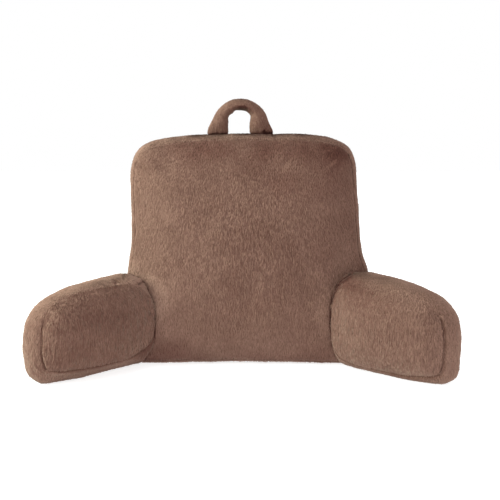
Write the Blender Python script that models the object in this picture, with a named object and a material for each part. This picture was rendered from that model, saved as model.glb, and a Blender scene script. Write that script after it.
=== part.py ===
"""Reading pillow with arms, in metres: a stuffed back cushion that leans back a little, an arm on each
side that splays outward, and a carrying handle on top. Each cushion is two cloth panels joined by a
boxing strip. The front faces -Y, +Z is up, and the pillow stands on its flattened underside at z = 0."""

import math

import bpy
import numpy as np
from mathutils import Vector
from mathutils.geometry import delaunay_2d_cdt

for old in list(bpy.data.objects):
    bpy.data.objects.remove(old, do_unlink=True)

GAP = 0.0004                 # air left between a sewn-on piece and the back cushion
CENTRE_Y = 0.0214            # from the back cushion's lower front seam to the middle of the whole depth

# Back cushion
BACK_HEIGHT = 0.455
BACK_LEAN = 0.075            # how far the front seam stands behind its foot at the full height
BACK_DEPTH_FOOT = 0.185      # boxing strip, seam to seam, at the foot
BACK_DEPTH_TOP = 0.100       # and at the top
BACK_BOW = 0.012             # how far the boxing strip swells past its seams
BACK_STEP = 0.018            # spacing of the mesh along the seams
FOOT_ARCH = 0.006            # the lower edge of the front panel is drawn up in its middle
FOOT_ARCH_HALF, FOOT_ARCH_DEPTH, FOOT_ARCH_HEIGHT = 0.200, 0.060, 0.100

# Arms
ARM_FRONT = (0.386, -0.134)  # x, y of the middle of the boxing strip at the front end
ARM_SPLAY = math.radians(47.0)
ARM_WEDGE = math.tan(math.radians(7.5))
ARM_HALF_FRONT = 0.030       # half of the boxing strip's width at the front end
ARM_LENGTH = 0.236
ARM_REAR_REACH = 0.35        # how much further back the outer panel runs, into the back cushion's side
ARM_BOW = 0.012
ARM_STEP = 0.014
ARM_SEAM_LIFT = 0.012        # the inner seam stands this much clear of the floor at the front end
ARM_LIFT_HEIGHT = 0.090      # and up to here the lift fades away
ARM_FULLNESS = {"arm_right": 1.03, "arm_left": 1.00}   # the right arm stands a little higher

# Carrying handle
HANDLE_Y = 0.125             # behind the back cushion's lower front seam
HANDLE_RINGS = 30
HANDLE_SIDES = 16

# Panels: width of the rounded edge, its lift off the seam, and the full crown in the middle
BACK_FRONT_PANEL = (0.090, 0.028, 0.048)
BACK_REAR_PANEL = (0.050, 0.014, 0.024)
ARM_INNER_PANEL = (0.050, 0.024, 0.032)
ARM_OUTER_PANEL = (0.050, 0.020, 0.027)
EDGE_TURNS = (18, 36, 54, 72, 90)      # degrees round the rounded edge where a row of points runs
STRIP_TURNS = 8                        # rows of faces across a boxing strip

BACK_OUTLINE = (             # x, z along the middle of the boxing strip, round from the left foot
    (-0.180, -0.006), (0.000, -0.006), (0.190, -0.006), (0.235, 0.006), (0.258, 0.050),
    (0.264, 0.110), (0.264, 0.170), (0.255, 0.220), (0.249, 0.270), (0.246, 0.320),
    (0.243, 0.370), (0.238, 0.410), (0.223, 0.442), (0.188, 0.460), (0.130, 0.468),
    (0.060, 0.469), (0.000, 0.469), (-0.070, 0.467), (-0.130, 0.464), (-0.185, 0.456),
    (-0.217, 0.440), (-0.232, 0.408), (-0.236, 0.370), (-0.233, 0.320), (-0.232, 0.270),
    (-0.236, 0.220), (-0.243, 0.170), (-0.250, 0.110), (-0.250, 0.050), (-0.226, 0.006),
)

# Distance from the root, z along the middle of the boxing strip. The arms are stuffed a little differently.
ARM_OUTLINES = {
    "arm_right": (
        (0.020, 0.008), (0.050, 0.001), (0.120, -0.003), (0.200, -0.003), (0.232, 0.004),
        (0.245, 0.024), (0.249, 0.058), (0.2475, 0.097), (0.238, 0.129), (0.214, 0.155),
        (0.170, 0.173), (0.120, 0.182), (0.060, 0.187), (0.022, 0.182), (-0.002, 0.162),
        (-0.010, 0.120), (-0.011, 0.070), (-0.004, 0.034),
    ),
    "arm_left": (
        (0.020, 0.008), (0.050, 0.001), (0.120, -0.003), (0.200, -0.003), (0.232, 0.004),
        (0.2445, 0.024), (0.2494, 0.058), (0.2445, 0.096), (0.235, 0.1275), (0.2125, 0.1545),
        (0.170, 0.173), (0.120, 0.1808), (0.060, 0.185), (0.020, 0.179), (-0.004, 0.160),
        (-0.010, 0.120), (-0.011, 0.070), (-0.004, 0.034),
    ),
}

HANDLE_ARCH = (              # x, z of the tube's middle; half width in the arch's plane, half depth
    (-0.052, 0.435, 0.0230, 0.007), (-0.050, 0.468, 0.0220, 0.010), (-0.047, 0.488, 0.0180, 0.016),
    (-0.040, 0.509, 0.0155, 0.018), (-0.023, 0.524, 0.0130, 0.018), (-0.003, 0.529, 0.0120, 0.018),
    (0.016, 0.524, 0.0130, 0.018), (0.032, 0.509, 0.0160, 0.018), (0.039, 0.488, 0.0195, 0.016),
    (0.0425, 0.468, 0.0245, 0.010), (0.044, 0.435, 0.0260, 0.007),
)


def curve_through(before, at, after, beyond, t):
    """A smooth curve from one row of a table to the next."""
    return 0.5 * (2 * at + (after - before) * t + (2 * before - 5 * at + 4 * after - beyond) * t ** 2
                  + (3 * at - before - 3 * after + beyond) * t ** 3)


def closed_curve(table, step):
    """Evenly spaced points along a smooth closed curve through the rows of a table."""
    rows = np.array(table)
    before, after, beyond = np.roll(rows, 1, 0), np.roll(rows, -1, 0), np.roll(rows, -2, 0)
    spans = [curve_through(before, rows, after, beyond, t) for t in np.linspace(0, 1, 40, endpoint=False)]
    fine = np.stack(spans, 1).reshape(-1, 2)
    ring = np.vstack([fine, fine[:1]])
    run = np.concatenate([[0.0], np.cumsum(np.linalg.norm(np.diff(ring, axis=0), axis=1))])
    at = np.linspace(0.0, run[-1], round(run[-1] / step), endpoint=False)
    return np.stack([np.interp(at, run, ring[:, k]) for k in (0, 1)], 1)


def outward(loop):
    """The unit normals of a loop that runs counter-clockwise."""
    along = np.roll(loop, -1, 0) - np.roll(loop, 1, 0)
    along /= np.linalg.norm(along, axis=1)[:, None]
    return np.stack([along[:, 1], -along[:, 0]], 1)


def distance_to(loop, points):
    run = np.roll(loop, -1, 0) - loop
    share = ((points[:, None] - loop) * run).sum(2) / (run ** 2).sum(1)
    foot = loop + np.clip(share, 0, 1)[..., None] * run
    return np.linalg.norm(points[:, None] - foot, axis=2).min(1)


def within(loop, points):
    """Which points the loop winds round."""
    spokes = loop[None] - points[:, None]
    angle = np.arctan2(spokes[..., 1], spokes[..., 0])
    turn = (np.roll(angle, -1, 1) - angle + math.pi) % (2 * math.pi) - math.pi
    return np.abs(turn.sum(1)) > math.pi


def panel_triangles(seam, zone, pitch):
    """Points and triangles that fill a seam's loop: rows along the seam, then an even grid."""
    rows = [seam]
    for turn in EDGE_TURNS:
        depth = zone * (1 - math.cos(math.radians(turn)))
        row = seam - outward(seam) * depth
        rows.append(row[distance_to(seam, row) > 0.97 * depth])
    marks = [np.arange(low, high, pitch) for low, high in zip(seam.min(0), seam.max(0))]
    grid = np.stack(np.meshgrid(*marks), 2).reshape(-1, 2)
    grid = grid[within(seam, grid)]
    rows.append(grid[distance_to(seam, grid) > zone + 0.45 * pitch])
    flat = np.vstack(rows)
    border = [list(range(len(seam)))]
    found = delaunay_2d_cdt([Vector(point) for point in flat], [], border, 1, 1e-7)
    source = [made[0] for made in found[3]]
    return flat, [[source[k] for k in face] for face in found[2]]


def panel_lift(flat, seam, panel):
    """How far the stuffing lifts each point of a panel off its seam plane."""
    zone, edge, crown = panel
    near = np.clip(distance_to(seam, flat) / zone, 0, 1)
    near[: len(seam)] = 0.0
    middle, half = (seam.max(0) + seam.min(0)) / 2, (seam.max(0) - seam.min(0)) / 2
    across = np.clip((flat - middle) / half, -1, 1)
    fill = 1 - (1 - near) ** 2
    return edge * np.sqrt(fill) + (crown - edge) * fill * np.prod(1 - across ** 2, axis=1)


def sewn_cushion(name, outline, step, bow, front, back, place, mirrored=False):
    """A stuffed cushion. front and back each hold where that seam lies across the cushion and the panel's
    sizes; place turns points along, up and across the cushion into world ones."""
    middle = closed_curve(outline, step)
    out = outward(middle)
    seam = middle - out * bow
    count = len(seam)
    points, faces = [], []
    for k in range(STRIP_TURNS + 1):
        turn = math.pi * k / STRIP_TURNS
        share = (1 - math.cos(turn)) / 2
        ring = seam + out * bow * math.sin(turn)
        points.append(np.column_stack([ring, front[0](ring) * (1 - share) + back[0](ring) * share]))
    for k in range(STRIP_TURNS):
        for i in range(count):
            j = (i + 1) % count
            low, high = k * count, (k + 1) * count
            faces.append((low + i, high + i, high + j, low + j))
    for side, (seam_place, panel), first in ((-1, front, 0), (1, back, STRIP_TURNS * count)):
        flat, triangles = panel_triangles(seam, panel[0], 2 * step)
        start = sum(map(len, points)) - count
        height = seam_place(flat) + side * panel_lift(flat, seam, panel)
        points.append(np.column_stack([flat, height])[count:])
        for face in triangles:
            corners = [first + k if k < count else start + k for k in face]
            faces.append(corners[::-side])
    world = place(np.vstack(points))
    world[:, 2] = np.maximum(world[:, 2], 0.0)
    if mirrored:
        faces = [face[::-1] for face in faces]
    return cloth_piece(name, world, faces)


def cloth_piece(name, points, faces):
    mesh = bpy.data.meshes.new(name)
    mesh.from_pydata([(x, y - CENTRE_Y, z) for x, y, z in points], [], faces)
    mesh.shade_smooth()
    piece = bpy.data.objects.new(name, mesh)
    bpy.context.collection.objects.link(piece)
    return piece


def plush(piece, colour):
    cloth = bpy.data.materials.new(piece.name + "_plush")
    cloth.use_nodes = True
    shader = cloth.node_tree.nodes["Principled BSDF"]
    shader.inputs["Base Color"].default_value = (*colour, 1.0)
    shader.inputs["Roughness"].default_value = 0.95
    shader.inputs["Metallic"].default_value = 0.0
    piece.data.materials.append(cloth)


def cut_clear(piece, cutter):
    cut = piece.modifiers.new("clear_of_back", "BOOLEAN")
    cut.operation = "DIFFERENCE"
    cut.solver = "EXACT"
    cut.object = cutter


# Back cushion: a front panel, a boxing strip and a back panel, standing on its foot.
def back_front_seam(flat):
    return BACK_LEAN * flat[:, 1] / BACK_HEIGHT


def back_rear_seam(flat):
    depth = BACK_DEPTH_FOOT + (BACK_DEPTH_TOP - BACK_DEPTH_FOOT) * flat[:, 1] / BACK_HEIGHT
    return back_front_seam(flat) + depth


def back_place(local):
    x, z, y = local.T
    middle = np.clip(1 - (x / FOOT_ARCH_HALF) ** 2, 0, 1)
    front = np.clip(1 - (y - back_front_seam(local)) / FOOT_ARCH_DEPTH, 0, 1)
    low = np.clip(1 - z / FOOT_ARCH_HEIGHT, 0, 1)
    return np.column_stack([x, y, z + FOOT_ARCH * middle * front * low])


backrest = sewn_cushion("backrest", BACK_OUTLINE, BACK_STEP, BACK_BOW, (back_front_seam, BACK_FRONT_PANEL),
                        (back_rear_seam, BACK_REAR_PANEL), back_place)
plush(backrest, (0.216, 0.123, 0.089))

# The room the back cushion takes, with the air round it: the arms and the handle are cut back to it.
clearance = backrest.copy()
clearance.data = backrest.data.copy()
clearance.name = "backrest_clearance"
bpy.context.collection.objects.link(clearance)
normals = [vertex.normal.copy() for vertex in backrest.data.vertices]
for vertex, normal in zip(clearance.data.vertices, normals):
    vertex.co += normal * GAP
clearance.hide_render = True
clearance.display_type = "WIRE"


# Arms: each an inner panel that faces the reader, a boxing strip and an outer panel.
def arm_outer_seam(flat):
    return ARM_HALF_FRONT + (ARM_LENGTH - flat[:, 0]) * ARM_WEDGE


def arm_inner_seam(flat):
    return -arm_outer_seam(flat)


def arm_place(side, fullness):
    sine, cosine = math.sin(ARM_SPLAY), math.cos(ARM_SPLAY)

    def place(local):
        along, up, across = local.T
        outer = np.clip((across / arm_outer_seam(local) + 1) / 2, 0, 1)
        reach = (along - ARM_LENGTH) * (1 + ARM_REAR_REACH * outer)
        low = np.clip(1 - up / ARM_LIFT_HEIGHT, 0, 1)
        lift = ARM_SEAM_LIFT * np.clip(along / ARM_LENGTH, 0, 1) * np.clip(1 - 4 * outer, 0, 1) * low
        x = ARM_FRONT[0] + reach * sine + across * cosine
        y = ARM_FRONT[1] - reach * cosine + across * sine
        return np.column_stack([side * x, y, up * fullness + lift])

    return place


for side, name, colour in ((1, "arm_right", (0.223, 0.128, 0.093)), (-1, "arm_left", (0.209, 0.119, 0.086))):
    arm = sewn_cushion(name, ARM_OUTLINES[name], ARM_STEP, ARM_BOW, (arm_inner_seam, ARM_INNER_PANEL),
                       (arm_outer_seam, ARM_OUTER_PANEL), arm_place(side, ARM_FULLNESS[name]), side < 0)
    plush(arm, colour)
    cut_clear(arm, clearance)

# Carrying handle: a stuffed cloth tube bent to an arch, flattened where its ends are sewn in.
stations = np.array(HANDLE_ARCH)
stations = np.vstack([2 * stations[0] - stations[1], stations, 2 * stations[-1] - stations[-2]])
at = np.linspace(0, len(HANDLE_ARCH) - 1.000001, HANDLE_RINGS)
row, part_way = at.astype(int), (at % 1)[:, None]
tube = curve_through(stations[row], stations[row + 1], stations[row + 2], stations[row + 3], part_way)
along = np.gradient(tube[:, :2], axis=0)
along /= np.linalg.norm(along, axis=1)[:, None]
points, faces = [], []
for (x, z, wide, deep), (run_x, run_z) in zip(tube, along):
    for turn in np.linspace(0, 2 * math.pi, HANDLE_SIDES, endpoint=False):
        off = wide * math.cos(turn)
        points.append((x + run_z * off, HANDLE_Y + deep * math.sin(turn), z - run_x * off))
for k in range(HANDLE_RINGS - 1):
    for i in range(HANDLE_SIDES):
        j = (i + 1) % HANDLE_SIDES
        low, high = k * HANDLE_SIDES, (k + 1) * HANDLE_SIDES
        faces.append((low + i, low + j, high + j, high + i))
faces.append(tuple(range(HANDLE_SIDES))[::-1])
faces.append(tuple(range((HANDLE_RINGS - 1) * HANDLE_SIDES, HANDLE_RINGS * HANDLE_SIDES)))
handle = cloth_piece("handle", points, faces)
plush(handle, (0.216, 0.123, 0.089))
cut_clear(handle, clearance)
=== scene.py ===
import math

import bmesh
import bpy
import numpy as np
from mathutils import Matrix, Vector, noise
from mathutils.bvhtree import BVHTree


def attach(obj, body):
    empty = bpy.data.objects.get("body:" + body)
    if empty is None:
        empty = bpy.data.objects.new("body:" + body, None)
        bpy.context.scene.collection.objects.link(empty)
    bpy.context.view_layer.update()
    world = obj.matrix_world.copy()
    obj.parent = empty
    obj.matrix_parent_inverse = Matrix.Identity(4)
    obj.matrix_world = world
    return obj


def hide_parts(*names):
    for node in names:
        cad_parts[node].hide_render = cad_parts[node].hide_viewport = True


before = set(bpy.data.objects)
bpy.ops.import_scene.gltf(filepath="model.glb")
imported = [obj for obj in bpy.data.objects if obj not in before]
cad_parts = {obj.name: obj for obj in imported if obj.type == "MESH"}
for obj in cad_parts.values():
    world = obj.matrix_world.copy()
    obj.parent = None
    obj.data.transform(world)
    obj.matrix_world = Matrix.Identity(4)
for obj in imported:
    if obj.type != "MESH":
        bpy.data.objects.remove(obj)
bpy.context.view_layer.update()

# ---------------------------------------------------------------------------------------------------
# The studio: a white room, a white light table as the floor, one large soft window low on the left and
# a weak lamp above. The camera stands 1.5 m off, a little below the cushion's top, looking down a bit.
# ---------------------------------------------------------------------------------------------------
PICTURE_SIDE = 500.0
EYE_LEVEL_ROW = 155.5
FOCAL_PIXELS = 757.5
SENSOR_WIDTH = 36.0
CAMERA_AT = (0.0165, -1.5214, 0.423)
CAMERA_PITCH = math.degrees(math.atan((PICTURE_SIDE / 2 - EYE_LEVEL_ROW) / FOCAL_PIXELS))
CAMERA_LENS = SENSOR_WIDTH * FOCAL_PIXELS / PICTURE_SIDE
TABLE_LEFT, TABLE_RIGHT = -12.0, 12.0
TABLE_NEAR, TABLE_FAR = -6.0, 18.0

scene = bpy.context.scene
scene.view_settings.view_transform = "Standard"
camera_data = bpy.data.cameras.new("camera")
camera_data.lens = CAMERA_LENS
camera_data.sensor_width = SENSOR_WIDTH
camera = bpy.data.objects.new("camera", camera_data)
camera.location = CAMERA_AT
camera.rotation_euler = (math.radians(90.0 - CAMERA_PITCH), 0.0, 0.0)
scene.collection.objects.link(camera)
scene.camera = camera


def aimed_lamp(name, at, toward, size, power, colour):
    lamp = bpy.data.lights.new(name, "AREA")
    lamp.shape = "SQUARE"
    lamp.size = size
    lamp.energy = power
    lamp.color = colour
    holder = bpy.data.objects.new(name, lamp)
    holder.location = at
    holder.rotation_euler = (Vector(toward) - Vector(at)).to_track_quat("-Z", "Y").to_euler()
    scene.collection.objects.link(holder)


aimed_lamp("window_left", at=(-1.766, -0.643, 0.904), toward=(0.0, 0.0, 0.22), size=1.2,
           power=62.0, colour=(0.83, 1.0, 0.87))
aimed_lamp("lamp_above", at=(0.0, 0.0, 2.4), toward=(0.0, 0.0, 0.0), size=1.6,
           power=8.0, colour=(1.0, 1.0, 1.0))

world = bpy.data.worlds.new("white_room")
world.use_nodes = True
world.node_tree.nodes["Background"].inputs["Color"].default_value = (1.0, 1.0, 1.0, 1.0)
world.node_tree.nodes["Background"].inputs["Strength"].default_value = 1.0
scene.world = world

floor_mesh = bpy.data.meshes.new("light_table")
floor_mesh.from_pydata([(TABLE_LEFT, TABLE_NEAR, 0.0), (TABLE_RIGHT, TABLE_NEAR, 0.0),
                        (TABLE_RIGHT, TABLE_FAR, 0.0), (TABLE_LEFT, TABLE_FAR, 0.0)], [], [(0, 1, 2, 3)])
floor = bpy.data.objects.new("light_table", floor_mesh)
scene.collection.objects.link(floor)
glow = bpy.data.materials.new("white_acrylic")
glow.use_nodes = True
acrylic = glow.node_tree.nodes["Principled BSDF"]
acrylic.inputs["Base Color"].default_value = (0.5, 0.5, 0.5, 1.0)
acrylic.inputs["Roughness"].default_value = 0.8
acrylic.inputs["Emission Color"].default_value = (1.0, 1.0, 1.0, 1.0)
acrylic.inputs["Emission Strength"].default_value = 0.82
floor_mesh.materials.append(glow)

# ---------------------------------------------------------------------------------------------------
# Arms: each an inner panel that faces the reader, a boxing strip and an outer panel of brown plush,
# stuffed with loose fibre and sewn into the side of the back cushion. Seen from above an arm is a
# wedge, thick at its root. Side is 1 for the right arm and -1 for the left.
# ---------------------------------------------------------------------------------------------------
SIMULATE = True
CENTRE_Y = 0.0214  # the pillow's middle, behind the foot of the back cushion's front seam
NOISE_GAIN = 1.6
NOISE_STEP = (7.13, 3.71, 5.37)


def linked(name, mesh):
    piece = bpy.data.objects.new(name, mesh)
    scene.collection.objects.link(piece)
    return piece


def settle(piece):
    """Applies the piece's modifiers."""
    bpy.context.view_layer.update()
    shown = piece.evaluated_get(bpy.context.evaluated_depsgraph_get())
    mesh = bpy.data.meshes.new_from_object(shown)
    piece.modifiers.clear()
    old = piece.data
    piece.data = mesh
    bpy.data.meshes.remove(old)


def read_vectors(mesh, what):
    flat = np.empty(len(mesh.vertices) * 3, np.float32)
    mesh.vertices.foreach_get(what, flat)
    return flat.reshape(-1, 3).astype(float)


def move_corners(mesh, points):
    mesh.vertices.foreach_set("co", points.astype(np.float32).ravel())
    mesh.update()


def skin_of(piece):
    """A search tree over one piece's surface."""
    mesh = piece.data
    return BVHTree.FromPolygons([v.co for v in mesh.vertices], [tuple(p.vertices) for p in mesh.polygons])


def gap_to(skins, points, reach=0.02):
    """Distance from each point to the nearest of some skins, at most reach."""
    gaps = np.full(len(points), reach)
    for number, point in enumerate(points):
        for skin in skins:
            found = skin.find_nearest(point, gaps[number])[3]
            if found is not None:
                gaps[number] = min(gaps[number], found)
    return gaps


def rising(values, start, run):
    """0 up to the start and 1 from the start plus the run onwards."""
    return np.clip((values - start) / run, 0.0, 1.0)


def bell(values, width):
    """1 at zero, falling off smoothly on both sides."""
    return np.exp(-(values / width) ** 2)


def wander(points, size, seed):
    """Smooth noise from about -1 to 1 at each point, with features about size across."""
    offset = Vector([seed * step for step in NOISE_STEP])
    return np.array([noise.noise(Vector(point) / size + offset) for point in points]) * NOISE_GAIN


COVER_INSET = 0.0014
INSET_GAP, INSET_GAP_RUN = 0.001, 0.004
INSET_FLOOR_RUN = 0.006
WELD = 1e-5


def even_cover(node, name, pitch, neighbours, inset=COVER_INSET):
    """The solid's skin in even quads, drawn in a little to leave room for the pile, but not underneath
    and not where it meets a neighbour."""
    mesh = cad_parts[node].data.copy()
    mesh.materials.clear()
    work = bmesh.new()
    work.from_mesh(mesh)
    bmesh.ops.remove_doubles(work, verts=work.verts, dist=WELD)
    work.to_mesh(mesh)
    work.free()
    piece = linked(name, mesh)
    even = piece.modifiers.new("even", "REMESH")
    even.mode = "VOXEL"
    even.voxel_size = pitch
    settle(piece)
    points, out = read_vectors(piece.data, "co"), read_vectors(piece.data, "normal")
    free = rising(gap_to(neighbours, points), INSET_GAP, INSET_GAP_RUN)
    free = free * rising(points[:, 2], 0.0, INSET_FLOOR_RUN)
    move_corners(piece.data, points - out * (inset * free)[:, None])
    return piece


PRESSURE = 3.0
SWELL_LIMIT = 0.004
HELD_AT_SEAM, HELD_AT_FLOOR = 0.005, 0.006
CLOTH_FRAMES = 20
STILL = 1e-9


def stuff(piece, seams):
    """Inflates the cover as cloth held at its seams and on the floor, each point kept near its place."""
    start = read_vectors(piece.data, "co")
    near = np.min([np.abs(seam(start)) for seam in seams], axis=0)
    held = piece.vertex_groups.new(name="held")
    for index in np.nonzero((near < HELD_AT_SEAM) | (start[:, 2] < HELD_AT_FLOOR))[0]:
        held.add([int(index)], 1.0, "REPLACE")
    cloth = piece.modifiers.new("stuffing", "CLOTH")
    cloth.settings.vertex_group_mass = "held"
    cloth.settings.use_pressure = True
    cloth.settings.uniform_pressure_force = PRESSURE
    cloth.settings.effector_weights.gravity = 0.0
    cloth.settings.quality = 4
    cloth.settings.tension_stiffness = 12.0
    cloth.settings.compression_stiffness = 12.0
    cloth.settings.shear_stiffness = 6.0
    cloth.settings.bending_stiffness = 1.2
    cloth.settings.mass = 0.25
    cloth.point_cache.frame_start = 1
    cloth.point_cache.frame_end = CLOTH_FRAMES
    for step in range(1, CLOTH_FRAMES + 1):
        scene.frame_set(step)
    settle(piece)
    scene.frame_set(1)
    moved = read_vectors(piece.data, "co") - start
    far = np.linalg.norm(moved, axis=1)[:, None] + STILL
    move_corners(piece.data, start + moved * SWELL_LIMIT * np.tanh(far / SWELL_LIMIT) / far)
    piece.vertex_groups.clear()


def along(points, strokes):
    """Distance from each point to the nearest of some short strokes, each from one point to another."""
    nearest = np.full(len(points), 1.0)
    for start, end in strokes:
        start, run = np.array(start), np.array(end) - np.array(start)
        share = np.clip((points - start) @ run / (run @ run), 0.0, 1.0)
        nearest = np.minimum(nearest, np.linalg.norm(points - start - share[:, None] * run, axis=1))
    return nearest


def finer_along(piece, seams, tucks, reaches):
    """Splits the faces near the seams and tucks, so that a narrow groove can run there."""
    for reach in reaches:
        points = read_vectors(piece.data, "co")
        near = [np.abs(seam(points)) for seam in seams] + [along(points, tucks)]
        close = np.min(near, axis=0) < reach
        work = bmesh.new()
        work.from_mesh(piece.data)
        work.verts.ensure_lookup_table()
        edges = [edge for edge in work.edges if close[edge.verts[0].index] or close[edge.verts[1].index]]
        bmesh.ops.subdivide_edges(work, edges=edges, cuts=1, use_grid_fill=True)
        work.to_mesh(piece.data)
        work.free()


# A seam's closing is a pair: the height above which the pile closes over it, and over how much it fades.
SEAM_LEAST_OPEN = 0.14
SEAM_CLOSES_ON_TOP = 0.88
ON_TOP_SLOPE, ON_TOP_START = 2.0, 0.2


def seam_show(points, out, closed):
    """How open a seam lies: less on top and above some height, where the pile closes over it."""
    closed_above, fading = closed
    low = np.clip((closed_above - points[:, 2]) / fading, SEAM_LEAST_OPEN, 1.0)
    on_top = np.clip(out[:, 2] * ON_TOP_SLOPE - ON_TOP_START, 0.0, 1.0)
    return low * (1.0 - SEAM_CLOSES_ON_TOP * on_top)


TUCK_DEPTH, TUCK_WIDTH = 0.0044, 0.0027
PULL_UNEVEN, PULL_SIZE, PULL_SEED = 0.35, 0.016, 3
GATHER_HEIGHT, GATHER_SIZE, GATHER_SEED = 0.0006, 0.011, 9
GATHER_SPREAD, SEAM_SPREAD = 4.0, 6  # in widths of the seam
LUMPS = ((0.0014, 0.075, 21), (0.0006, 0.028, 22))  # height, size, seed
JOIN_DEPTH, JOIN_WIDTH = 0.0012, 0.003
FLAT_BELOW = 0.004


def sew_in(piece, seams, tucks, depth, width, closed, neighbours):
    """Draws the cover in along its seams, unevenly, as stitching does, and where the cloth is tucked."""
    points, out = read_vectors(piece.data, "co"), read_vectors(piece.data, "normal")
    push = np.zeros(len(points))
    for number, seam in enumerate(seams):
        off = seam(points)
        close = np.abs(off) < SEAM_SPREAD * width
        spots, away = points[close], np.abs(off[close])
        uneven = 1.0 + PULL_UNEVEN * wander(spots, PULL_SIZE, PULL_SEED + number)
        pull = uneven * seam_show(spots, out[close], closed)
        gather = wander(spots, GATHER_SIZE, GATHER_SEED + number) * bell(away, GATHER_SPREAD * width)
        push[close] -= depth * pull * bell(away, width) + GATHER_HEIGHT * gather
    push -= TUCK_DEPTH * bell(along(points, tucks), TUCK_WIDTH)
    push += sum(height * wander(points, size, seed) for height, size, seed in LUMPS)
    push -= JOIN_DEPTH * bell(gap_to(neighbours, points), JOIN_WIDTH)
    push[points[:, 2] < FLAT_BELOW] = 0.0
    moved = points + out * push[:, None]
    moved[:, 2] = np.maximum(moved[:, 2], 0.0)
    move_corners(piece.data, moved)


LOCK_FINENESS, LOCK_FLATTENING, LOCK_WEIGHT = 430.0, 0.22, 0.55
CLOUD_FINENESS, CLOUD_WEIGHT = 16.0, 0.45
DEEP_AT, PALE_AT = 0.30, 0.70


def plush(name, deep, pale):
    """Plush: fibres lie in short vertical locks, a little lighter or darker."""
    cloth = bpy.data.materials.new(name)
    cloth.use_nodes = True
    nodes, links = cloth.node_tree.nodes, cloth.node_tree.links
    shader = nodes["Principled BSDF"]
    where = nodes.new("ShaderNodeTexCoord")
    stretch = nodes.new("ShaderNodeMapping")
    stretch.inputs["Scale"].default_value = (1.0, 1.0, LOCK_FLATTENING)
    links.new(where.outputs["Object"], stretch.inputs["Vector"])
    locks = nodes.new("ShaderNodeTexNoise")
    locks.inputs["Scale"].default_value = LOCK_FINENESS
    locks.inputs["Detail"].default_value = 1.0
    links.new(stretch.outputs["Vector"], locks.inputs["Vector"])
    clouds = nodes.new("ShaderNodeTexNoise")
    clouds.inputs["Scale"].default_value = CLOUD_FINENESS
    clouds.inputs["Detail"].default_value = 2.0
    links.new(where.outputs["Object"], clouds.inputs["Vector"])
    blend = nodes.new("ShaderNodeMath")
    blend.operation = "MULTIPLY_ADD"
    blend.inputs[1].default_value = LOCK_WEIGHT
    links.new(locks.outputs["Fac"], blend.inputs[0])
    share = nodes.new("ShaderNodeMath")
    share.operation = "MULTIPLY"
    share.inputs[1].default_value = CLOUD_WEIGHT
    links.new(clouds.outputs["Fac"], share.inputs[0])
    links.new(share.outputs["Value"], blend.inputs[2])
    ramp = nodes.new("ShaderNodeValToRGB")
    ramp.color_ramp.elements[0].position = DEEP_AT
    ramp.color_ramp.elements[0].color = (*deep, 1.0)
    ramp.color_ramp.elements[1].position = PALE_AT
    ramp.color_ramp.elements[1].color = (*pale, 1.0)
    links.new(blend.outputs["Value"], ramp.inputs["Fac"])
    # The tone attribute carries painted light and shade as well as random mottle.
    tone = nodes.new("ShaderNodeAttribute")
    tone.attribute_name = "tone"
    shade = nodes.new("ShaderNodeMix")
    shade.data_type = "RGBA"
    shade.blend_type = "MULTIPLY"
    shade.inputs["Factor"].default_value = 1.0
    links.new(ramp.outputs["Color"], shade.inputs[6])
    links.new(tone.outputs["Color"], shade.inputs[7])
    links.new(shade.outputs[2], shader.inputs["Base Color"])
    shader.inputs["Roughness"].default_value = 0.95
    shader.inputs["Specular IOR Level"].default_value = 0.15
    shader.inputs["Sheen Weight"].default_value = 0.25
    shader.inputs["Sheen Roughness"].default_value = 0.5
    shader.inputs["Sheen Tint"].default_value = (0.75, 0.60, 0.46, 1.0)
    return cloth


# The backing is coloured darker than the pile: painted shade deep in the pile, seen between the tufts.
backing = plush("plush_backing", deep=(0.108, 0.054, 0.0385), pale=(0.150, 0.078, 0.057))
pile_cloth = plush("plush_pile", deep=(0.165, 0.084, 0.0625), pale=(0.244, 0.133, 0.102))

# Painted shade: each shade is the share of its light that the pile's colour loses there, in crevices
# between pieces, in tucks and in seam grooves.
REDDER_WHEN_DARK, YELLOWER_WHEN_PALE = 1.45, 1.22
CREVICE_WIDTH, CREVICE_SHADE = 0.0029, 0.84
TUCK_SHADE = 0.75
SEAM_SHADE, SEAM_SHADE_WIDTH = 0.72, 0.0021
SEAM_SHADE_FROM_NEIGHBOUR = 0.014
COVER_DARKEST, PILE_DARKEST, PALEST = 0.2, 0.3, 1.6


def tint(mesh, values):
    """Stores how light each corner's pile is, painted light and shade included. Darker tones are made a
    little redder, paler ones a little less red.
    """
    redder = values ** np.where(values < 1.0, REDDER_WHEN_DARK, YELLOWER_WHEN_PALE)
    shades = np.column_stack([values, redder, redder, np.ones(len(values))])
    tones = mesh.attributes.new("tone", "FLOAT_COLOR", "POINT")
    tones.data.foreach_set("color", shades.astype(np.float32).ravel())


def painted_fold_shade(gap, tucked):
    """Painted shade where two pieces are pressed together, and in a tuck: how light the colour stays
    there.
    """
    return (1.0 - CREVICE_SHADE * bell(gap, CREVICE_WIDTH)) * (1.0 - TUCK_SHADE * bell(tucked, TUCK_WIDTH))


def painted_seam_shade(near, gap):
    """Painted shade in a seam's groove: how light the colour stays there. It fades out at the neighbouring
    piece.
    """
    return 1.0 - SEAM_SHADE * bell(near, SEAM_SHADE_WIDTH) * rising(gap, 0.0, SEAM_SHADE_FROM_NEIGHBOUR)


def finish_cover(piece, node, seams, tucks, closed, neighbours, tone):
    piece.data.materials.append(backing)
    piece.data.shade_smooth()
    points, out = read_vectors(piece.data, "co"), read_vectors(piece.data, "normal")
    gap = gap_to(neighbours, points)
    # Painted light and shade from the tone, and painted shade in folds, tucks and seam grooves.
    shade = tone(points, out) * painted_fold_shade(gap, along(points, tucks))
    for seam in seams:
        shade *= painted_seam_shade(np.abs(seam(points)) / seam_show(points, out, closed), gap)
    tint(piece.data, np.clip(shade, COVER_DARKEST, PALEST))
    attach(piece, "root")
    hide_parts(node)


OVERSAMPLING = 4.0
GRID_SIDE = 8192


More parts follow.
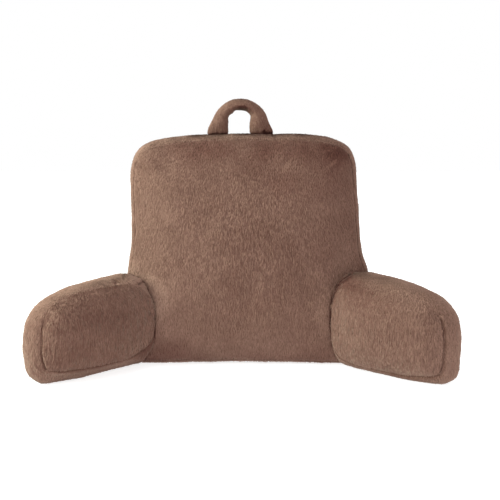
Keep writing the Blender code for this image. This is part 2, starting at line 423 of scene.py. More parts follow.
def spots_on(piece, pitch, rng, keep):
    """Evenly scattered points on the piece with their normals, where keep says so."""
    mesh = piece.data
    mesh.calc_loop_triangles()
    index = np.empty(len(mesh.loop_triangles) * 3, np.int32)
    mesh.loop_triangles.foreach_get("vertices", index)
    corners, out = read_vectors(mesh, "co"), read_vectors(mesh, "normal")
    tri, tri_out = corners[index.reshape(-1, 3)], out[index.reshape(-1, 3)]
    area = np.linalg.norm(np.cross(tri[:, 1] - tri[:, 0], tri[:, 2] - tri[:, 0]), axis=1) / 2
    count = int(area.sum() / pitch ** 2 * OVERSAMPLING)
    pick = np.searchsorted(np.cumsum(area) / area.sum(), rng.random(count))
    pick = np.minimum(pick, len(area) - 1)
    a, b = rng.random((2, count))
    fold = a + b > 1
    a[fold], b[fold] = 1 - a[fold], 1 - b[fold]
    mix = np.stack([1 - a - b, a, b], 1)[..., None]
    spots, up = (tri[pick] * mix).sum(1), (tri_out[pick] * mix).sum(1)
    up /= np.linalg.norm(up, axis=1)[:, None]
    cell = np.floor(spots / pitch).astype(np.int64) + GRID_SIDE // 2
    key = (cell[:, 0] * GRID_SIDE + cell[:, 1]) * GRID_SIDE + cell[:, 2]
    first = np.sort(np.unique(key, return_index=True)[1])
    spots, up = spots[first], up[first]
    kept = keep(spots, up)
    return spots[kept], up[kept]


CELL_MARGIN = 0.05


def bake_cells(mesh, count):
    """Gives each tuft a cell of its own on the sheet that its colours are baked to."""
    across = math.ceil(math.sqrt(count))
    corner = np.array([[0.0, 0.0], [1 / 3, 0.0], [0.5, 1.0], [1 / 3, 0.0], [2 / 3, 0.0], [0.5, 1.0],
                       [2 / 3, 0.0], [1.0, 0.0], [0.5, 1.0], [0.0, 0.9], [0.1, 0.9], [0.05, 1.0]])
    cell = np.stack([np.arange(count) % across, np.arange(count) // across], 1)
    spread = (cell[:, None] + CELL_MARGIN + (1.0 - 2 * CELL_MARGIN) * corner[None]) / across
    mesh.uv_layers.new(name="OFBake").data.foreach_set("uv", spread.astype(np.float32).ravel())


# A tuft's sizes are in metres and its angles in degrees. The tufts of one lock lean the same way.
PILE_PITCH = 0.0024
PILE_LENGTH = 0.0068
PILE_LENGTHS = (0.8, 1.15)
PILE_WIDTH = 0.0022
PILE_WIDTHS = (0.8, 1.2)
NAP_DIRECTION = (0.0, -0.25, -1.0)
LOCK_SIZE, LOCK_STRETCH = 0.0021, (1.0, 1.0, 0.15)
LOCK_SWIRL, TUFT_SWIRL = 5.0, 3.0
DRIFT_SWIRL, DRIFT_SIZE, DRIFT_SEED = 7.0, 0.030, 7
PILE_LIFT, LOCK_LIFT, TUFT_LIFT = 13.0, 6.0, 2.5
LIFT_SEED = 50
LIFT_LEAST, LIFT_MOST = 2.0, 36.0
BARE_SEAM, BARE_JOIN = 0.0016, 0.0012
SHORT_NEAR_SEAM, SHORTEST_AT_SEAM = 0.0048, 0.3
SHORT_NEAR_JOIN, SHORTEST_AT_JOIN = 0.005, 0.4
THIN_NEAR_SEAM, THINNEST_AT_SEAM = 0.0040, 0.6
SEAM_IS_OPEN, STOP_SHORT = 0.5, 0.8
RIDGE_SHARE = 0.5
ROOT_SINK = 0.0006
TIP_CLEARANCE, ROOT_CLEARANCE = 0.0006, 0.0003
LOCK_TURN, TUFT_ROUNDNESS = 0.6, 0.45
RIDGE_LEAN, TIP_FACING, TIP_LEAN = 0.1, 0.8, 0.6
TUFT_MOTTLE = 0.06


def tuft_mesh(name, left, ridge, right, tip):
    """One closed tuft of four faces for each row of the four corners."""
    points = np.stack([left, ridge, right, tip], 1).reshape(-1, 3)
    points[:, 2] = np.maximum(points[:, 2], ROOT_CLEARANCE)
    base = np.arange(len(tip))[:, None] * 4
    faces = np.concatenate([base + (0, 1, 3), base + (1, 2, 3), base + (2, 0, 3), base + (0, 2, 1)], 1)
    faces = faces.reshape(-1, 3)
    mesh = bpy.data.meshes.new(name)
    mesh.vertices.add(len(points))
    mesh.vertices.foreach_set("co", points.astype(np.float32).ravel())
    mesh.loops.add(len(faces) * 3)
    mesh.loops.foreach_set("vertex_index", faces.astype(np.int32).ravel())
    mesh.polygons.add(len(faces))
    mesh.polygons.foreach_set("loop_start", np.arange(len(faces), dtype=np.int32) * 3)
    mesh.update(calc_edges=True)
    mesh.shade_smooth()
    return mesh


def lay_pile(name, piece, keep, seams, tucks, closed, neighbours, seed, tone, ruffle,
             length=PILE_LENGTH, pitch=PILE_PITCH):
    """Short tapered tufts over the cover, combed downward, parting where pieces are sewn together."""
    rng = np.random.default_rng(seed)
    spots, up = spots_on(piece, pitch, rng, keep)
    near = np.min([np.abs(seam(spots)) for seam in seams], axis=0) if seams else np.ones(len(spots))
    show = seam_show(spots, up, closed)
    near = near / show
    tucked = along(spots, tucks)
    gap = gap_to(neighbours, spots)
    rooted = (near > BARE_SEAM) & (gap > BARE_JOIN)
    spots, up, near, show, gap, tucked = (part[rooted] for part in (spots, up, near, show, gap, tucked))
    groove_painted_shade = painted_seam_shade(near, gap)
    near = np.minimum(near, tucked)
    count = len(spots)

    nap = np.tile(NAP_DIRECTION, (count, 1))
    nap -= up * (nap * up).sum(1)[:, None]
    nap /= np.linalg.norm(nap, axis=1)[:, None]
    aside = np.cross(nap, up)
    drawn = spots * LOCK_STRETCH
    rough = ruffle(spots)
    lock = wander(drawn, LOCK_SIZE, seed) * rough
    drift = DRIFT_SWIRL * wander(spots, DRIFT_SIZE, seed + DRIFT_SEED)
    swirl = np.radians(LOCK_SWIRL * lock + drift + rng.normal(0.0, TUFT_SWIRL, count))
    lean = nap * np.cos(swirl)[:, None] + aside * np.sin(swirl)[:, None]
    aside = np.cross(lean, up)
    lift = PILE_LIFT + LOCK_LIFT * rough * wander(drawn, LOCK_SIZE, seed + LIFT_SEED)
    lift = np.radians(np.clip(lift + rng.normal(0.0, TUFT_LIFT, count), LIFT_LEAST, LIFT_MOST))

    grown = np.clip(near / SHORT_NEAR_SEAM, SHORTEST_AT_SEAM, 1.0)
    grown = grown * np.clip(gap / SHORT_NEAR_JOIN, SHORTEST_AT_JOIN, 1.0)
    reach = length * grown * rng.uniform(*PILE_LENGTHS, count)
    for seam in seams:
        off, off_tip = seam(spots), seam(spots + lean * reach[:, None])
        across = (off * off_tip < 0.0) & (show > SEAM_IS_OPEN)
        reach[across] *= STOP_SHORT * off[across] / (off[across] - off_tip[across])
    thin = np.clip(near / THIN_NEAR_SEAM, THINNEST_AT_SEAM, 1.0)
    half = 0.5 * PILE_WIDTH * rng.uniform(*PILE_WIDTHS, count) * thin
    sink = up * ROOT_SINK
    tip = spots + lean * (reach * np.cos(lift))[:, None] + up * (reach * np.sin(lift))[:, None]
    tip[:, 2] = np.maximum(tip[:, 2], TIP_CLEARANCE)
    left, right = spots - aside * half[:, None] - sink, spots + aside * half[:, None] - sink
    ridge = spots + up * (RIDGE_SHARE * half)[:, None]
    mesh = tuft_mesh(name, left, ridge, right, tip)

    facing = up + aside * (LOCK_TURN * lock)[:, None]
    side = aside * TUFT_ROUNDNESS
    soft = np.stack([facing - side, facing + lean * RIDGE_LEAN, facing + side,
                     facing * TIP_FACING + lean * TIP_LEAN], 1).reshape(-1, 3)
    soft /= np.linalg.norm(soft, axis=1)[:, None]
    mesh.normals_split_custom_set_from_vertices(soft.tolist())
    # Painted light and shade from the tone, and painted shade in folds, tucks and seam grooves, over
    # random mottle.
    shade = tone(spots, up) * (1.0 + TUFT_MOTTLE * rough * rng.normal(0.0, 1.0, count))
    shade *= painted_fold_shade(gap, tucked) * groove_painted_shade
    tint(mesh, np.repeat(np.clip(shade, PILE_DARKEST, PALEST), 4))
    bake_cells(mesh, count)
    mesh.materials.append(pile_cloth)
    tufts = linked(name, mesh)
    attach(tufts, "root")


PATCHES = (0.05, 0.05, 61)  # amount, size, seed
FLECKS = (0.025, 0.016, 62)
FLECK_STRETCH = (1.0, 1.0, 0.6)
EVEN_RUFFLE = 0.85


def mottled(points, amount, size, seed):
    return amount * wander(points, size, seed)


def even_tone(points, out):
    return 1.0 + mottled(points, *PATCHES) + mottled(points * FLECK_STRETCH, *FLECKS)


def even_ruffle(points):
    return np.full(len(points), EVEN_RUFFLE)


def soft_spot(points, x, z, wide, tall):
    """1 at a place on the front, falling off smoothly over the given half width and half height."""
    return np.exp(-((points[:, 0] - x) / wide) ** 2 - ((points[:, 2] - z) / tall) ** 2)


def painted_light_and_shade(points, nap):
    """Painted light (more than 0) or painted shade (less than 0), as soft spots."""
    return sum(amount * soft_spot(points, x, z, wide, tall) for x, z, wide, tall, amount in nap)


ARM_FRONT = (0.386, -0.134)
ARM_SPLAY = math.radians(47.0)
ARM_WEDGE = math.tan(math.radians(7.5))
ARM_HALF_FRONT = 0.030
ARM_REAR_REACH = 0.35
ARM_SEAM_TILT, ARM_SEAM_TILTS_AT = {1: 0.0, -1: 0.10}, 0.095
ARM_SEAM_RISE, ARM_SEAM_RISES_BELOW = {1: 0.0, -1: 0.30}, 0.052
ARM_SEAM_CORNER, ARM_CORNER_WIDTH = {1: 0.0, -1: 0.0070}, 0.011
ARM_CORNER_REACH, ARM_CORNER_HEIGHT = -0.007, 0.034
ARM_SEAM_END = {1: 0.0036, -1: 0.0}
ARM_END_FROM, ARM_END_RUN = -0.024, 0.020
ARM_SEAM_CLOSED = {1: (0.146, 0.024), -1: (0.134, 0.080)}


def arm_seam(side, hand):
    """Distance from the inner (hand -1) or outer (hand 1) seam's plane, positive towards the strip."""
    ahead = np.array([math.sin(ARM_SPLAY), -math.cos(ARM_SPLAY)])
    across = np.array([math.cos(ARM_SPLAY), math.sin(ARM_SPLAY)])
    slope = ARM_WEDGE / (1 + (ARM_REAR_REACH if hand > 0 else 0.0))
    start = np.array([ARM_FRONT[0], ARM_FRONT[1] - CENTRE_Y])

    def away(points):
        flat = np.column_stack([side * points[:, 0], points[:, 1]]) - start
        reach, height = flat @ ahead, points[:, 2]
        flush = (ARM_HALF_FRONT - reach * slope - hand * (flat @ across)) / math.hypot(1, slope)
        if hand > 0:
            return flush
        flush -= ARM_SEAM_TILT[side] * (height - ARM_SEAM_TILTS_AT)
        flush += ARM_SEAM_RISE[side] * np.clip(ARM_SEAM_RISES_BELOW - height, 0.0, ARM_SEAM_RISES_BELOW)
        along_arm = (reach - ARM_CORNER_REACH) / ARM_CORNER_WIDTH
        upward = (height - ARM_CORNER_HEIGHT) / ARM_CORNER_WIDTH
        flush -= ARM_SEAM_CORNER[side] * np.exp(-along_arm ** 2 - upward ** 2)
        return flush - ARM_SEAM_END[side] * rising(reach, ARM_END_FROM, ARM_END_RUN)

    return away


# Each shift moves the filling near a place (x, y, z), within a reach (x, y, z), by an amount (x, y, z).
ARM_SHIFTS = {1: (((0.365, -0.150, 0.150), (0.045, 0.045, 0.045), (0.002, 0.0, 0.004)),
                  ((0.168, -0.050, 0.090), (0.026, 0.060, 1.000), (0.006, 0.0, 0.0)),
                  ((0.185, -0.050, 0.178), (0.022, 0.060, 0.018), (0.002, 0.0, -0.005)),
                  ((0.380, -0.165, 0.015), (0.030, 0.040, 0.020), (0.005, -0.002, 0.0)),
                  ((0.395, -0.160, 0.012), (0.014, 0.040, 0.012), (0.0025, 0.0, 0.0)),
                  ((0.300, -0.135, 0.008), (0.060, 0.040, 0.016), (0.0, -0.005, -0.002))),
              -1: (((-0.172, -0.035, 0.168), (0.026, 0.060, 0.030), (-0.011, 0.0, -0.006)),
                   ((-0.168, -0.050, 0.070), (0.026, 0.060, 0.090), (-0.003, 0.0, 0.0)),
                   ((-0.215, -0.090, 0.004), (0.040, 0.060, 0.022), (0.0, 0.008, 0.006)),
                   ((-0.270, -0.125, 0.004), (0.030, 0.050, 0.018), (0.0, 0.004, 0.003)),
                   ((-0.385, -0.185, 0.010), (0.018, 0.030, 0.022), (0.004, 0.002, 0.0)),
                   ((-0.174, -0.045, 0.018), (0.016, 0.060, 0.022), (-0.008, 0.0, 0.0)),
                   ((-0.398, -0.166, 0.045), (0.035, 0.035, 0.035), (0.004, 0.0, 0.0)))}
ROOT_X, ROOT_REACH, ROOT_FLAT, ROOT_GAP = 0.168, 0.034, 0.62, 0.05


def shift_filling(piece, shifts):
    """Moves the filling a little, as hands do."""
    points = read_vectors(piece.data, "co")
    for at, reach, shift in shifts:
        share = np.exp(-(((points - at) / reach) ** 2).sum(1))
        points = points + share[:, None] * shift
    points[:, 2] = np.maximum(points[:, 2], 0.0)
    move_corners(piece.data, points)


def flatten_root(piece, side, neighbours):
    """The arm is thin where it is sewn to the back cushion: its panel runs out almost level with it."""
    points = read_vectors(piece.data, "co")
    raised = gap_to(neighbours, points, ROOT_GAP) * (points[:, 1] < 0.0)
    share = bell(np.minimum(side * points[:, 0], 1.0) - ROOT_X, ROOT_REACH)
    points[:, 1] += ROOT_FLAT * share * raised
    move_corners(piece.data, points)


LEFT_RUFFLE, RIGHT_RUFFLE = 1.80, 1.22
FLOOR_CONTACT_SHADE, FLOOR_CONTACT_HEIGHT = 0.34, 0.0075
LIT_SLOPE, LIT_START = 1.5, 0.5
CREASE_DEEP = np.array([1.0, 0.10, 1.0])


def arm_ruffle(points):
    return np.where(points[:, 0] < 0.0, LEFT_RUFFLE, RIGHT_RUFFLE)


def painted_contact_shade(points):
    """Painted shade along the edge that the piece rests on the floor with."""
    return -FLOOR_CONTACT_SHADE * bell(points[:, 2], FLOOR_CONTACT_HEIGHT)


def painted_light_on_top(out, amount):
    """Painted light on top of an arm, where the nap lies forward and catches the light."""
    return amount * np.clip(LIT_SLOPE * out[:, 2] - LIT_START, 0.0, 1.0)


def painted_crease_shade(points, strokes, width, amount):
    """Painted shade along a crease, and all the way back behind it."""
    return -amount * bell(along(points * CREASE_DEEP, np.array(strokes) * CREASE_DEEP), width)


# Each row of a table of painted light and shade is a soft spot on the front: x, z, half width, half height
# and amount, painted light above 0 and painted shade below.
LEFT_PANEL_PAINTED_SHADING = ((-0.300, 0.085, 0.055, 0.060, -0.07), (-0.250, 0.020, 0.050, 0.022, -0.16),
                  (-0.200, 0.055, 0.028, 0.022, 0.18), (-0.270, 0.130, 0.020, 0.018, -0.12),
                  (-0.325, 0.148, 0.040, 0.022, 0.08), (-0.242, 0.174, 0.003, 0.005, -0.35),
                  (-0.207, 0.156, 0.022, 0.022, 0.20))
LEFT_PANEL_PAINTED_SHADE = 0.92
LEFT_PANEL_FLECKS = (0.05, 0.012, 64)
LEFT_STRIP_PAINTED_SHADING = ((-0.335, 0.152, 0.030, 0.020, -0.10), (-0.215, 0.180, 0.060, 0.030, 0.28),
                  (-0.385, 0.120, 0.020, 0.030, -0.08), (-0.188, 0.155, 0.014, 0.022, 0.26),
                  (-0.180, 0.028, 0.024, 0.030, -0.42), (-0.265, 0.016, 0.060, 0.014, -0.22),
                  (-0.202, 0.010, 0.014, 0.008, -0.35), (-0.212, 0.014, 0.014, 0.010, -0.20),
                  (-0.244, 0.180, 0.010, 0.003, -0.42), (-0.400, 0.055, 0.014, 0.020, 0.10),
                  (-0.205, 0.180, 0.030, 0.008, 0.25))
LEFT_TOP_PAINTED_LIGHT = 0.22
# Strokes of painted shade where the strip is gathered at the front of the arm.
LEFT_GATHER_SHADE = (((-0.3765, -0.1720, 0.0460), (-0.3650, -0.1740, 0.0290)),
                ((-0.3810, -0.1710, 0.0310), (-0.3700, -0.1690, 0.0170)),
                ((-0.3870, -0.1700, 0.0420), (-0.3790, -0.1720, 0.0260)))
RIGHT_PAINTED_SHADING = ((0.225, 0.152, 0.040, 0.030, -0.17), (0.222, 0.174, 0.024, 0.013, -0.26),
             (0.335, 0.120, 0.040, 0.030, 0.05), (0.172, 0.100, 0.012, 0.080, -0.08),
             (0.330, 0.165, 0.050, 0.020, 0.10), (0.300, 0.185, 0.040, 0.010, 0.16),
             (0.384, 0.026, 0.020, 0.030, 0.28), (0.280, 0.160, 0.036, 0.012, -0.13),
             (0.392, 0.105, 0.014, 0.020, -0.12))
RIGHT_TOP_PAINTED_LIGHT = 0.28
RIGHT_END_PAINTED_LIGHT, RIGHT_END_FROM, RIGHT_END_RUN = 0.28, 0.34, 0.03
RIGHT_END_START, RIGHT_END_SLOPE = 0.4, 2.0
RIGHT_FOOT_TONE, RIGHT_FOOT_FROM, RIGHT_FOOT_RUN = 0.4, 0.02, 0.05
RIGHT_FOLD = ((0.2250, -0.0120, 0.1905), (0.2136, -0.0390, 0.1872), (0.2038, -0.0383, 0.1810),
              (0.1965, -0.0345, 0.1743), (0.1926, -0.0375, 0.1685), (0.1885, -0.0380, 0.1626),
              (0.1840, -0.0440, 0.1556), (0.1778, -0.0410, 0.1330))
RIGHT_CREASE = tuple(zip(RIGHT_FOLD, RIGHT_FOLD[1:]))
# Painted shade under the arm's top edge beside the back cushion.
RIGHT_SHADE = (((0.2400, -0.0200, 0.1895), (0.2100, -0.0450, 0.1820)),
               ((0.2100, -0.0450, 0.1820), (0.2000, -0.0500, 0.1740)))
ARM_TUCKS = {1: (((0.2442, -0.1111, 0.1661), (0.2480, -0.1140, 0.1640)), *RIGHT_CREASE),
             -1: (((-0.2494, -0.0560, 0.1812), (-0.2380, -0.0655, 0.1780)),
                  ((-0.2440, -0.0640, 0.1800), (-0.2440, -0.0750, 0.1755)),
                  ((-0.2030, -0.0480, 0.1720), (-0.1990, -0.0250, 0.1740)))}


def left_panel_tone(points, out):
    """Painted shade darkens this whole panel, with painted light and shade in soft spots over random
    flecks.
    """
    return (even_tone(points, out) * LEFT_PANEL_PAINTED_SHADE + painted_light_and_shade(points, LEFT_PANEL_PAINTED_SHADING)
            + mottled(points, *LEFT_PANEL_FLECKS))


def left_strip_tone(points, out):
    """Painted light and shade in soft spots, pale near the back cushion, painted light on top, and painted
    shade in the gathers at the front of the arm and along the foot.
    """
    return (even_tone(points, out) + painted_light_and_shade(points, LEFT_STRIP_PAINTED_SHADING) + painted_light_on_top(out, LEFT_TOP_PAINTED_LIGHT)
            + painted_crease_shade(points, LEFT_GATHER_SHADE, width=0.0024, amount=0.24) + painted_contact_shade(points))


def right_tone(points, out):
    """Painted light on the end of this arm and on its top, painted light and shade in soft spots, and
    painted shade in the crease where it meets the back cushion, in the zone below that crease and along
    the foot.
    """
    end = rising(points[:, 0], RIGHT_END_FROM, RIGHT_END_RUN)
    end = end * np.clip(RIGHT_END_START - RIGHT_END_SLOPE * out[:, 1], 0.0, 1.0)
    low = np.clip((points[:, 2] - RIGHT_FOOT_FROM) / RIGHT_FOOT_RUN, RIGHT_FOOT_TONE, 1.0)
    return (even_tone(points, out) + painted_light_and_shade(points, RIGHT_PAINTED_SHADING) + RIGHT_END_PAINTED_LIGHT * end * low
            + painted_light_on_top(out, RIGHT_TOP_PAINTED_LIGHT) + painted_crease_shade(points, RIGHT_CREASE, width=0.0025, amount=0.95)
            + painted_crease_shade(points, RIGHT_SHADE, width=0.0080, amount=0.34) + painted_contact_shade(points))


ARM_MESH, ARM_SPLITS = 0.0052, (0.0075, 0.0045)
ARM_SEAM_DEPTH, ARM_SEAM_WIDTH = 0.0040, 0.0016
UNDERSIDE, PILE_FROM_FLOOR = -0.93, 0.002
ARM_PANEL_SEED, ARM_STRIP_SEED = 20, 24


def shows(points, out):
    """Pile grows neither underneath nor where the cloth meets the floor."""
    return (out[:, 2] > UNDERSIDE) & (points[:, 2] > PILE_FROM_FLOOR)


back_skin = skin_of(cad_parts["backrest"])
arm_skins = []
for side, node, panel_tone, strip_tone in ((1, "arm_right", right_tone, right_tone),
                                           (-1, "arm_left", left_panel_tone, left_strip_tone)):
    seams = (arm_seam(side, -1), arm_seam(side, 1))
    inner = seams[0]
    tucks, closed = ARM_TUCKS[side], ARM_SEAM_CLOSED[side]
    which = node.removeprefix("arm_")
    cover = even_cover(node, "arm_cover_" + which, ARM_MESH, [back_skin])
    if SIMULATE:
        stuff(cover, seams)
    shift_filling(cover, ARM_SHIFTS[side])
    flatten_root(cover, side, [back_skin])
    finer_along(cover, seams, tucks, ARM_SPLITS)
    sew_in(cover, seams, tucks, ARM_SEAM_DEPTH, ARM_SEAM_WIDTH, closed, [back_skin])
    finish_cover(cover, node, seams, tucks, closed, [back_skin], strip_tone)
    arm_skins.append(skin_of(cover))
    lay_pile("arm_panel_pile_" + which, cover,
             lambda points, out: (inner(points) < 0) & shows(points, out),
             seams, tucks, closed, [back_skin], ARM_PANEL_SEED + side, panel_tone, arm_ruffle)
    lay_pile("arm_strip_pile_" + which, cover,
             lambda points, out: (inner(points) >= 0) & shows(points, out),
             seams, tucks, closed, [back_skin], ARM_STRIP_SEED + side, strip_tone, even_ruffle)

# ---------------------------------------------------------------------------------------------------
# Back cushion: a front panel, a boxing strip and a back panel of brown plush, sewn inside out, turned
# and stuffed with loose fibre. The seams pull the cover in, and the front panel leans back a little.
# ---------------------------------------------------------------------------------------------------
BACK_HEIGHT, BACK_LEAN = 0.455, 0.075
BACK_DEPTH_FOOT, BACK_DEPTH_TOP = 0.185, 0.100
BACK_MESH, BACK_SPLITS = 0.0062, (0.006, 0.004)
BACK_FILL, BACK_PILE_FROM_FLOOR = 0.85, 0.003
BACK_FRONT_SEED, BACK_STRIP_SEED, BACK_REAR_SEED = 11, 12, 13
BACK_SEAM_DEPTH, BACK_SEAM_WIDTH = 0.0014, 0.0026
OPEN_ALL_ROUND = (1.0, 0.024)  # a seam closed above a height that no piece reaches
BACK_SHIFTS = (((-0.215, 0.080, 0.455), (0.030, 0.100, 0.030), (0.002, 0.0, -0.002)),
               ((0.240, 0.060, 0.270), (0.040, 0.100, 0.080), (-0.0025, 0.0, 0.0)),
               ((0.250, 0.050, 0.192), (0.030, 0.100, 0.020), (0.004, 0.0, 0.0)))
BACK_PAINTED_SHADING = ((0.190, 0.415, 0.036, 0.050, -0.24), (-0.168, 0.320, 0.030, 0.120, 0.11),
            (0.040, 0.180, 0.100, 0.060, -0.06), (0.225, 0.235, 0.025, 0.035, 0.20),
            (0.165, 0.030, 0.035, 0.026, -0.12), (-0.140, 0.030, 0.050, 0.028, -0.17),
            (-0.130, 0.085, 0.030, 0.025, 0.10), (-0.185, 0.200, 0.030, 0.045, 0.10),
            (-0.163, 0.145, 0.020, 0.028, 0.40), (-0.178, 0.006, 0.030, 0.012, -0.40),
            (0.020, 0.385, 0.060, 0.030, -0.08), (0.100, 0.365, 0.035, 0.030, -0.12),
            (0.0, 0.0, 0.300, 0.022, -0.30), (-0.160, 0.122, 0.018, 0.040, 0.42),
            (-0.177, 0.155, 0.011, 0.024, 0.50), (-0.095, 0.080, 0.030, 0.045, 0.08),
            (-0.160, 0.400, 0.020, 0.030, 0.07), (0.164, 0.120, 0.016, 0.050, 0.30),
            (0.190, 0.165, 0.012, 0.018, 0.22), (0.200, 0.205, 0.020, 0.020, 0.26),
            (-0.222, 0.195, 0.018, 0.024, 0.26), (-0.160, 0.190, 0.016, 0.012, -0.12),
            (0.080, 0.012, 0.100, 0.018, -0.08), (-0.188, 0.170, 0.013, 0.014, 0.50),
            (-0.179, 0.147, 0.008, 0.014, 0.30), (-0.170, 0.122, 0.010, 0.022, 0.26))
# Painted shade in a band below the back cushion's top seam.
TOP_BAND_SHADE, TOP_BAND_Z, TOP_BAND_HEIGHT = 0.31, 0.436, 0.024
TOP_BAND_FROM, TOP_BAND_RUN = -0.19, 0.07
TOP_BAND_PATCHES = (0.3, 0.020, 63)
TOP_BAND_MIDDLE, TOP_BAND_MOST = 0.85, 1.4
HANDLE_LIGHTER, AT_HANDLE = 0.6, (0.0, 0.436, 0.03, 0.05)
STRIP_PAINTED_LIGHT = ((-0.040, 0.466, 0.075, 0.010, 0.34), (0.080, 0.466, 0.040, 0.010, 0.14))
STRIP_TOP_PAINTED_LIGHT, STRIP_TOP_REAR, STRIP_TOP_RUN = 0.26, 0.15, 0.1
SMOOTH_RUFFLE, BRUSHED_UP, BRUSHED_MIDDLE = 0.66, 0.72, (0.020, 0.260, 0.120, 0.120)


def back_front_seam(points):
    return points[:, 1] + CENTRE_Y - BACK_LEAN * points[:, 2] / BACK_HEIGHT


def back_rear_seam(points):
    depth = BACK_DEPTH_FOOT + (BACK_DEPTH_TOP - BACK_DEPTH_FOOT) * points[:, 2] / BACK_HEIGHT
    return depth - back_front_seam(points)


def back_front_tone(points, out):
    """Painted shade in a band below the top seam, in patches and less at the handle, with painted light
    and shade in soft spots.
    """
    band = bell(points[:, 2] - TOP_BAND_Z, TOP_BAND_HEIGHT)
    band = band * rising(points[:, 0], TOP_BAND_FROM, TOP_BAND_RUN)
    patches = np.clip(TOP_BAND_MIDDLE + mottled(points, *TOP_BAND_PATCHES), 0.0, TOP_BAND_MOST)
    patches -= HANDLE_LIGHTER * soft_spot(points, *AT_HANDLE)
    return even_tone(points, out) - TOP_BAND_SHADE * band * patches + painted_light_and_shade(points, BACK_PAINTED_SHADING)


def back_strip_tone(points, out):
    """Painted light on top of the strip, where its nap lies forward, more towards the front."""
    forward = np.clip(STRIP_TOP_REAR - points[:, 1], 0.0, STRIP_TOP_RUN) / STRIP_TOP_RUN
    lighter = STRIP_TOP_PAINTED_LIGHT + painted_light_and_shade(points, STRIP_PAINTED_LIGHT)
    return even_tone(points, out) + lighter * np.clip(out[:, 2], 0.0, 1.0) * forward


def back_front_ruffle(points):
    """The pile in the middle is combed up rougher, the edges and the foot lie smoother."""
    return SMOOTH_RUFFLE + BRUSHED_UP * soft_spot(points, *BRUSHED_MIDDLE)


back_seams = (back_front_seam, back_rear_seam)
beside_back = arm_skins + [skin_of(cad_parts["handle"])]

back_cover = even_cover("backrest", "back_cover", BACK_MESH, beside_back)
if SIMULATE:
    stuff(back_cover, back_seams)
shift_filling(back_cover, BACK_SHIFTS)
finer_along(back_cover, back_seams, (), BACK_SPLITS)
sew_in(back_cover, back_seams, (), BACK_SEAM_DEPTH, BACK_SEAM_WIDTH, OPEN_ALL_ROUND, beside_back)
finish_cover(back_cover, "backrest", back_seams, (), OPEN_ALL_ROUND, beside_back,
             back_front_tone)

lay_pile("back_front_pile", back_cover,
         lambda points, out: (back_front_seam(points) < 0) & (points[:, 2] > BACK_PILE_FROM_FLOOR),
         back_seams, (), OPEN_ALL_ROUND, beside_back, BACK_FRONT_SEED, back_front_tone, back_front_ruffle)
lay_pile("back_strip_pile", back_cover,
         lambda points, out: ((back_front_seam(points) >= 0) & (back_rear_seam(points) >= 0)
                              & (out[:, 2] > UNDERSIDE)),
         back_seams, (), OPEN_ALL_ROUND, beside_back, BACK_STRIP_SEED, back_strip_tone, even_ruffle)
lay_pile("back_rear_pile", back_cover,
         lambda points, out: (back_rear_seam(points) < 0) & (points[:, 2] > BACK_PILE_FROM_FLOOR),
         back_seams, (), OPEN_ALL_ROUND, beside_back, BACK_REAR_SEED, even_tone, even_ruffle)

# ---------------------------------------------------------------------------------------------------
# Carrying handle: a tube of the same plush, stuffed and bent to an arch, its flattened ends sewn in
# at the top of the back cushion.
# ---------------------------------------------------------------------------------------------------
HANDLE_MESH, HANDLE_INSET = 0.0026, 0.0004
HANDLE_FILL, HANDLE_SEED = 0.7, 31
HANDLE_UNDERSIDE = -0.7
HANDLE_PILE_LENGTH, HANDLE_PILE_PITCH = 0.0042, 0.0021
HANDLE_TUCKS = (((-0.0600, 0.0960, 0.4692), (-0.0420, 0.0955, 0.4682)),
                ((0.0470, 0.0950, 0.4702), (0.0650, 0.1005, 0.4702)),
                ((0.0470, 0.0945, 0.4750), (0.0475, 0.0945, 0.4690)))
HANDLE_SHIFTS = (((-0.027, 0.1, 0.507), (0.008, 1.0, 0.009), (-0.004, 0.0, 0.0)),
                 ((0.019, 0.1, 0.510), (0.007, 1.0, 0.008), (0.004, 0.0, 0.001)),
                 ((-0.014, 0.1, 0.516), (0.006, 1.0, 0.006), (-0.001, 0.0, 0.0025)),
                 ((0.010, 0.1, 0.518), (0.006, 1.0, 0.006), (0.001, 0.0, 0.0015)),
                 ((0.021, 0.1, 0.484), (0.010, 1.0, 0.022), (-0.005, 0.0, 0.0)),
                 ((-0.066, 0.1, 0.478), (0.018, 1.0, 0.028), (-0.003, 0.0, 0.0)),
                 ((0.066, 0.1, 0.467), (0.016, 1.0, 0.009), (0.004, 0.0, 0.0)))
HANDLE_PAINTED_SHADING = ((0.045, 0.485, 0.020, 0.020, -0.10), (-0.050, 0.490, 0.012, 0.020, 0.06),
              (0.054, 0.4725, 0.011, 0.0050, -0.35))
HANDLE_FLECKS = (0.08, 0.011, 66)
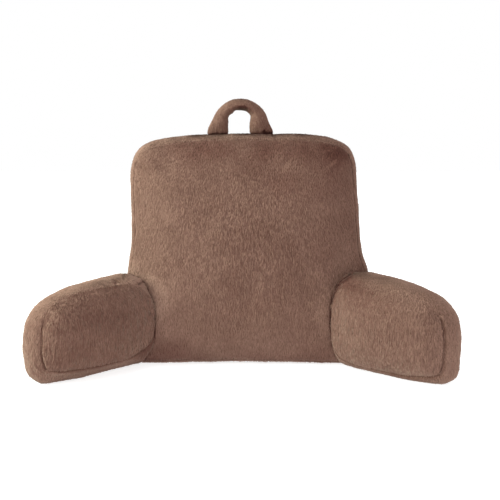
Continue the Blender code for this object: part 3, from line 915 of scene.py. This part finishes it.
# Painted shade at the handle's feet and in the fold under its arch.
FOOT_SHADE, FOOT_Z, FOOT_HEIGHT = 0.42, 0.4705, 0.0034
FOOT_MIDDLE, FOOT_PATCHES = 0.6, (0.5, 0.006, 65)
ARCH_SHADE, UNDER_ARCH = 0.95, (0.001, 0.519, 0.015, 0.012)
DOWNWARD_FROM, DOWNWARD_RUN = 0.1, 0.4
FOOT_DROP, FOOT_TOP, FOOT_RUN = 0.005, 0.480, 0.008  # the feet are let down onto the back cushion


def handle_tone(points, out):
    """Painted shade in the fold under the arch and at the feet, where it is sewn down, with painted light
    and shade in soft spots and random flecks.
    """
    patches = np.clip(FOOT_MIDDLE + mottled(points, *FOOT_PATCHES), 0.0, 1.0)
    foot = bell(points[:, 2] - FOOT_Z, FOOT_HEIGHT) * patches
    downward = np.clip((DOWNWARD_FROM - out[:, 2]) / DOWNWARD_RUN, 0.0, 1.0)
    under = soft_spot(points, *UNDER_ARCH) * downward
    return (even_tone(points, out) + painted_light_and_shade(points, HANDLE_PAINTED_SHADING) + mottled(points, *HANDLE_FLECKS)
            - FOOT_SHADE * foot - ARCH_SHADE * under)


handle_cover = even_cover("handle", "handle_cover", HANDLE_MESH, [], HANDLE_INSET)
shift_filling(handle_cover, HANDLE_SHIFTS)
ends = read_vectors(handle_cover.data, "co")
ends[:, 2] -= FOOT_DROP * np.clip((FOOT_TOP - ends[:, 2]) / FOOT_RUN, 0.0, 1.0)
move_corners(handle_cover.data, ends)
sew_in(handle_cover, (), HANDLE_TUCKS, depth=0.0, width=0.001, closed=OPEN_ALL_ROUND,
       neighbours=[back_skin])
finish_cover(handle_cover, "handle", (), HANDLE_TUCKS, OPEN_ALL_ROUND, [back_skin],
             handle_tone)
lay_pile("handle_pile", handle_cover, lambda points, out: out[:, 2] > HANDLE_UNDERSIDE,
         (), HANDLE_TUCKS, OPEN_ALL_ROUND, [back_skin], HANDLE_SEED, handle_tone, even_ruffle,
         length=HANDLE_PILE_LENGTH, pitch=HANDLE_PILE_PITCH)
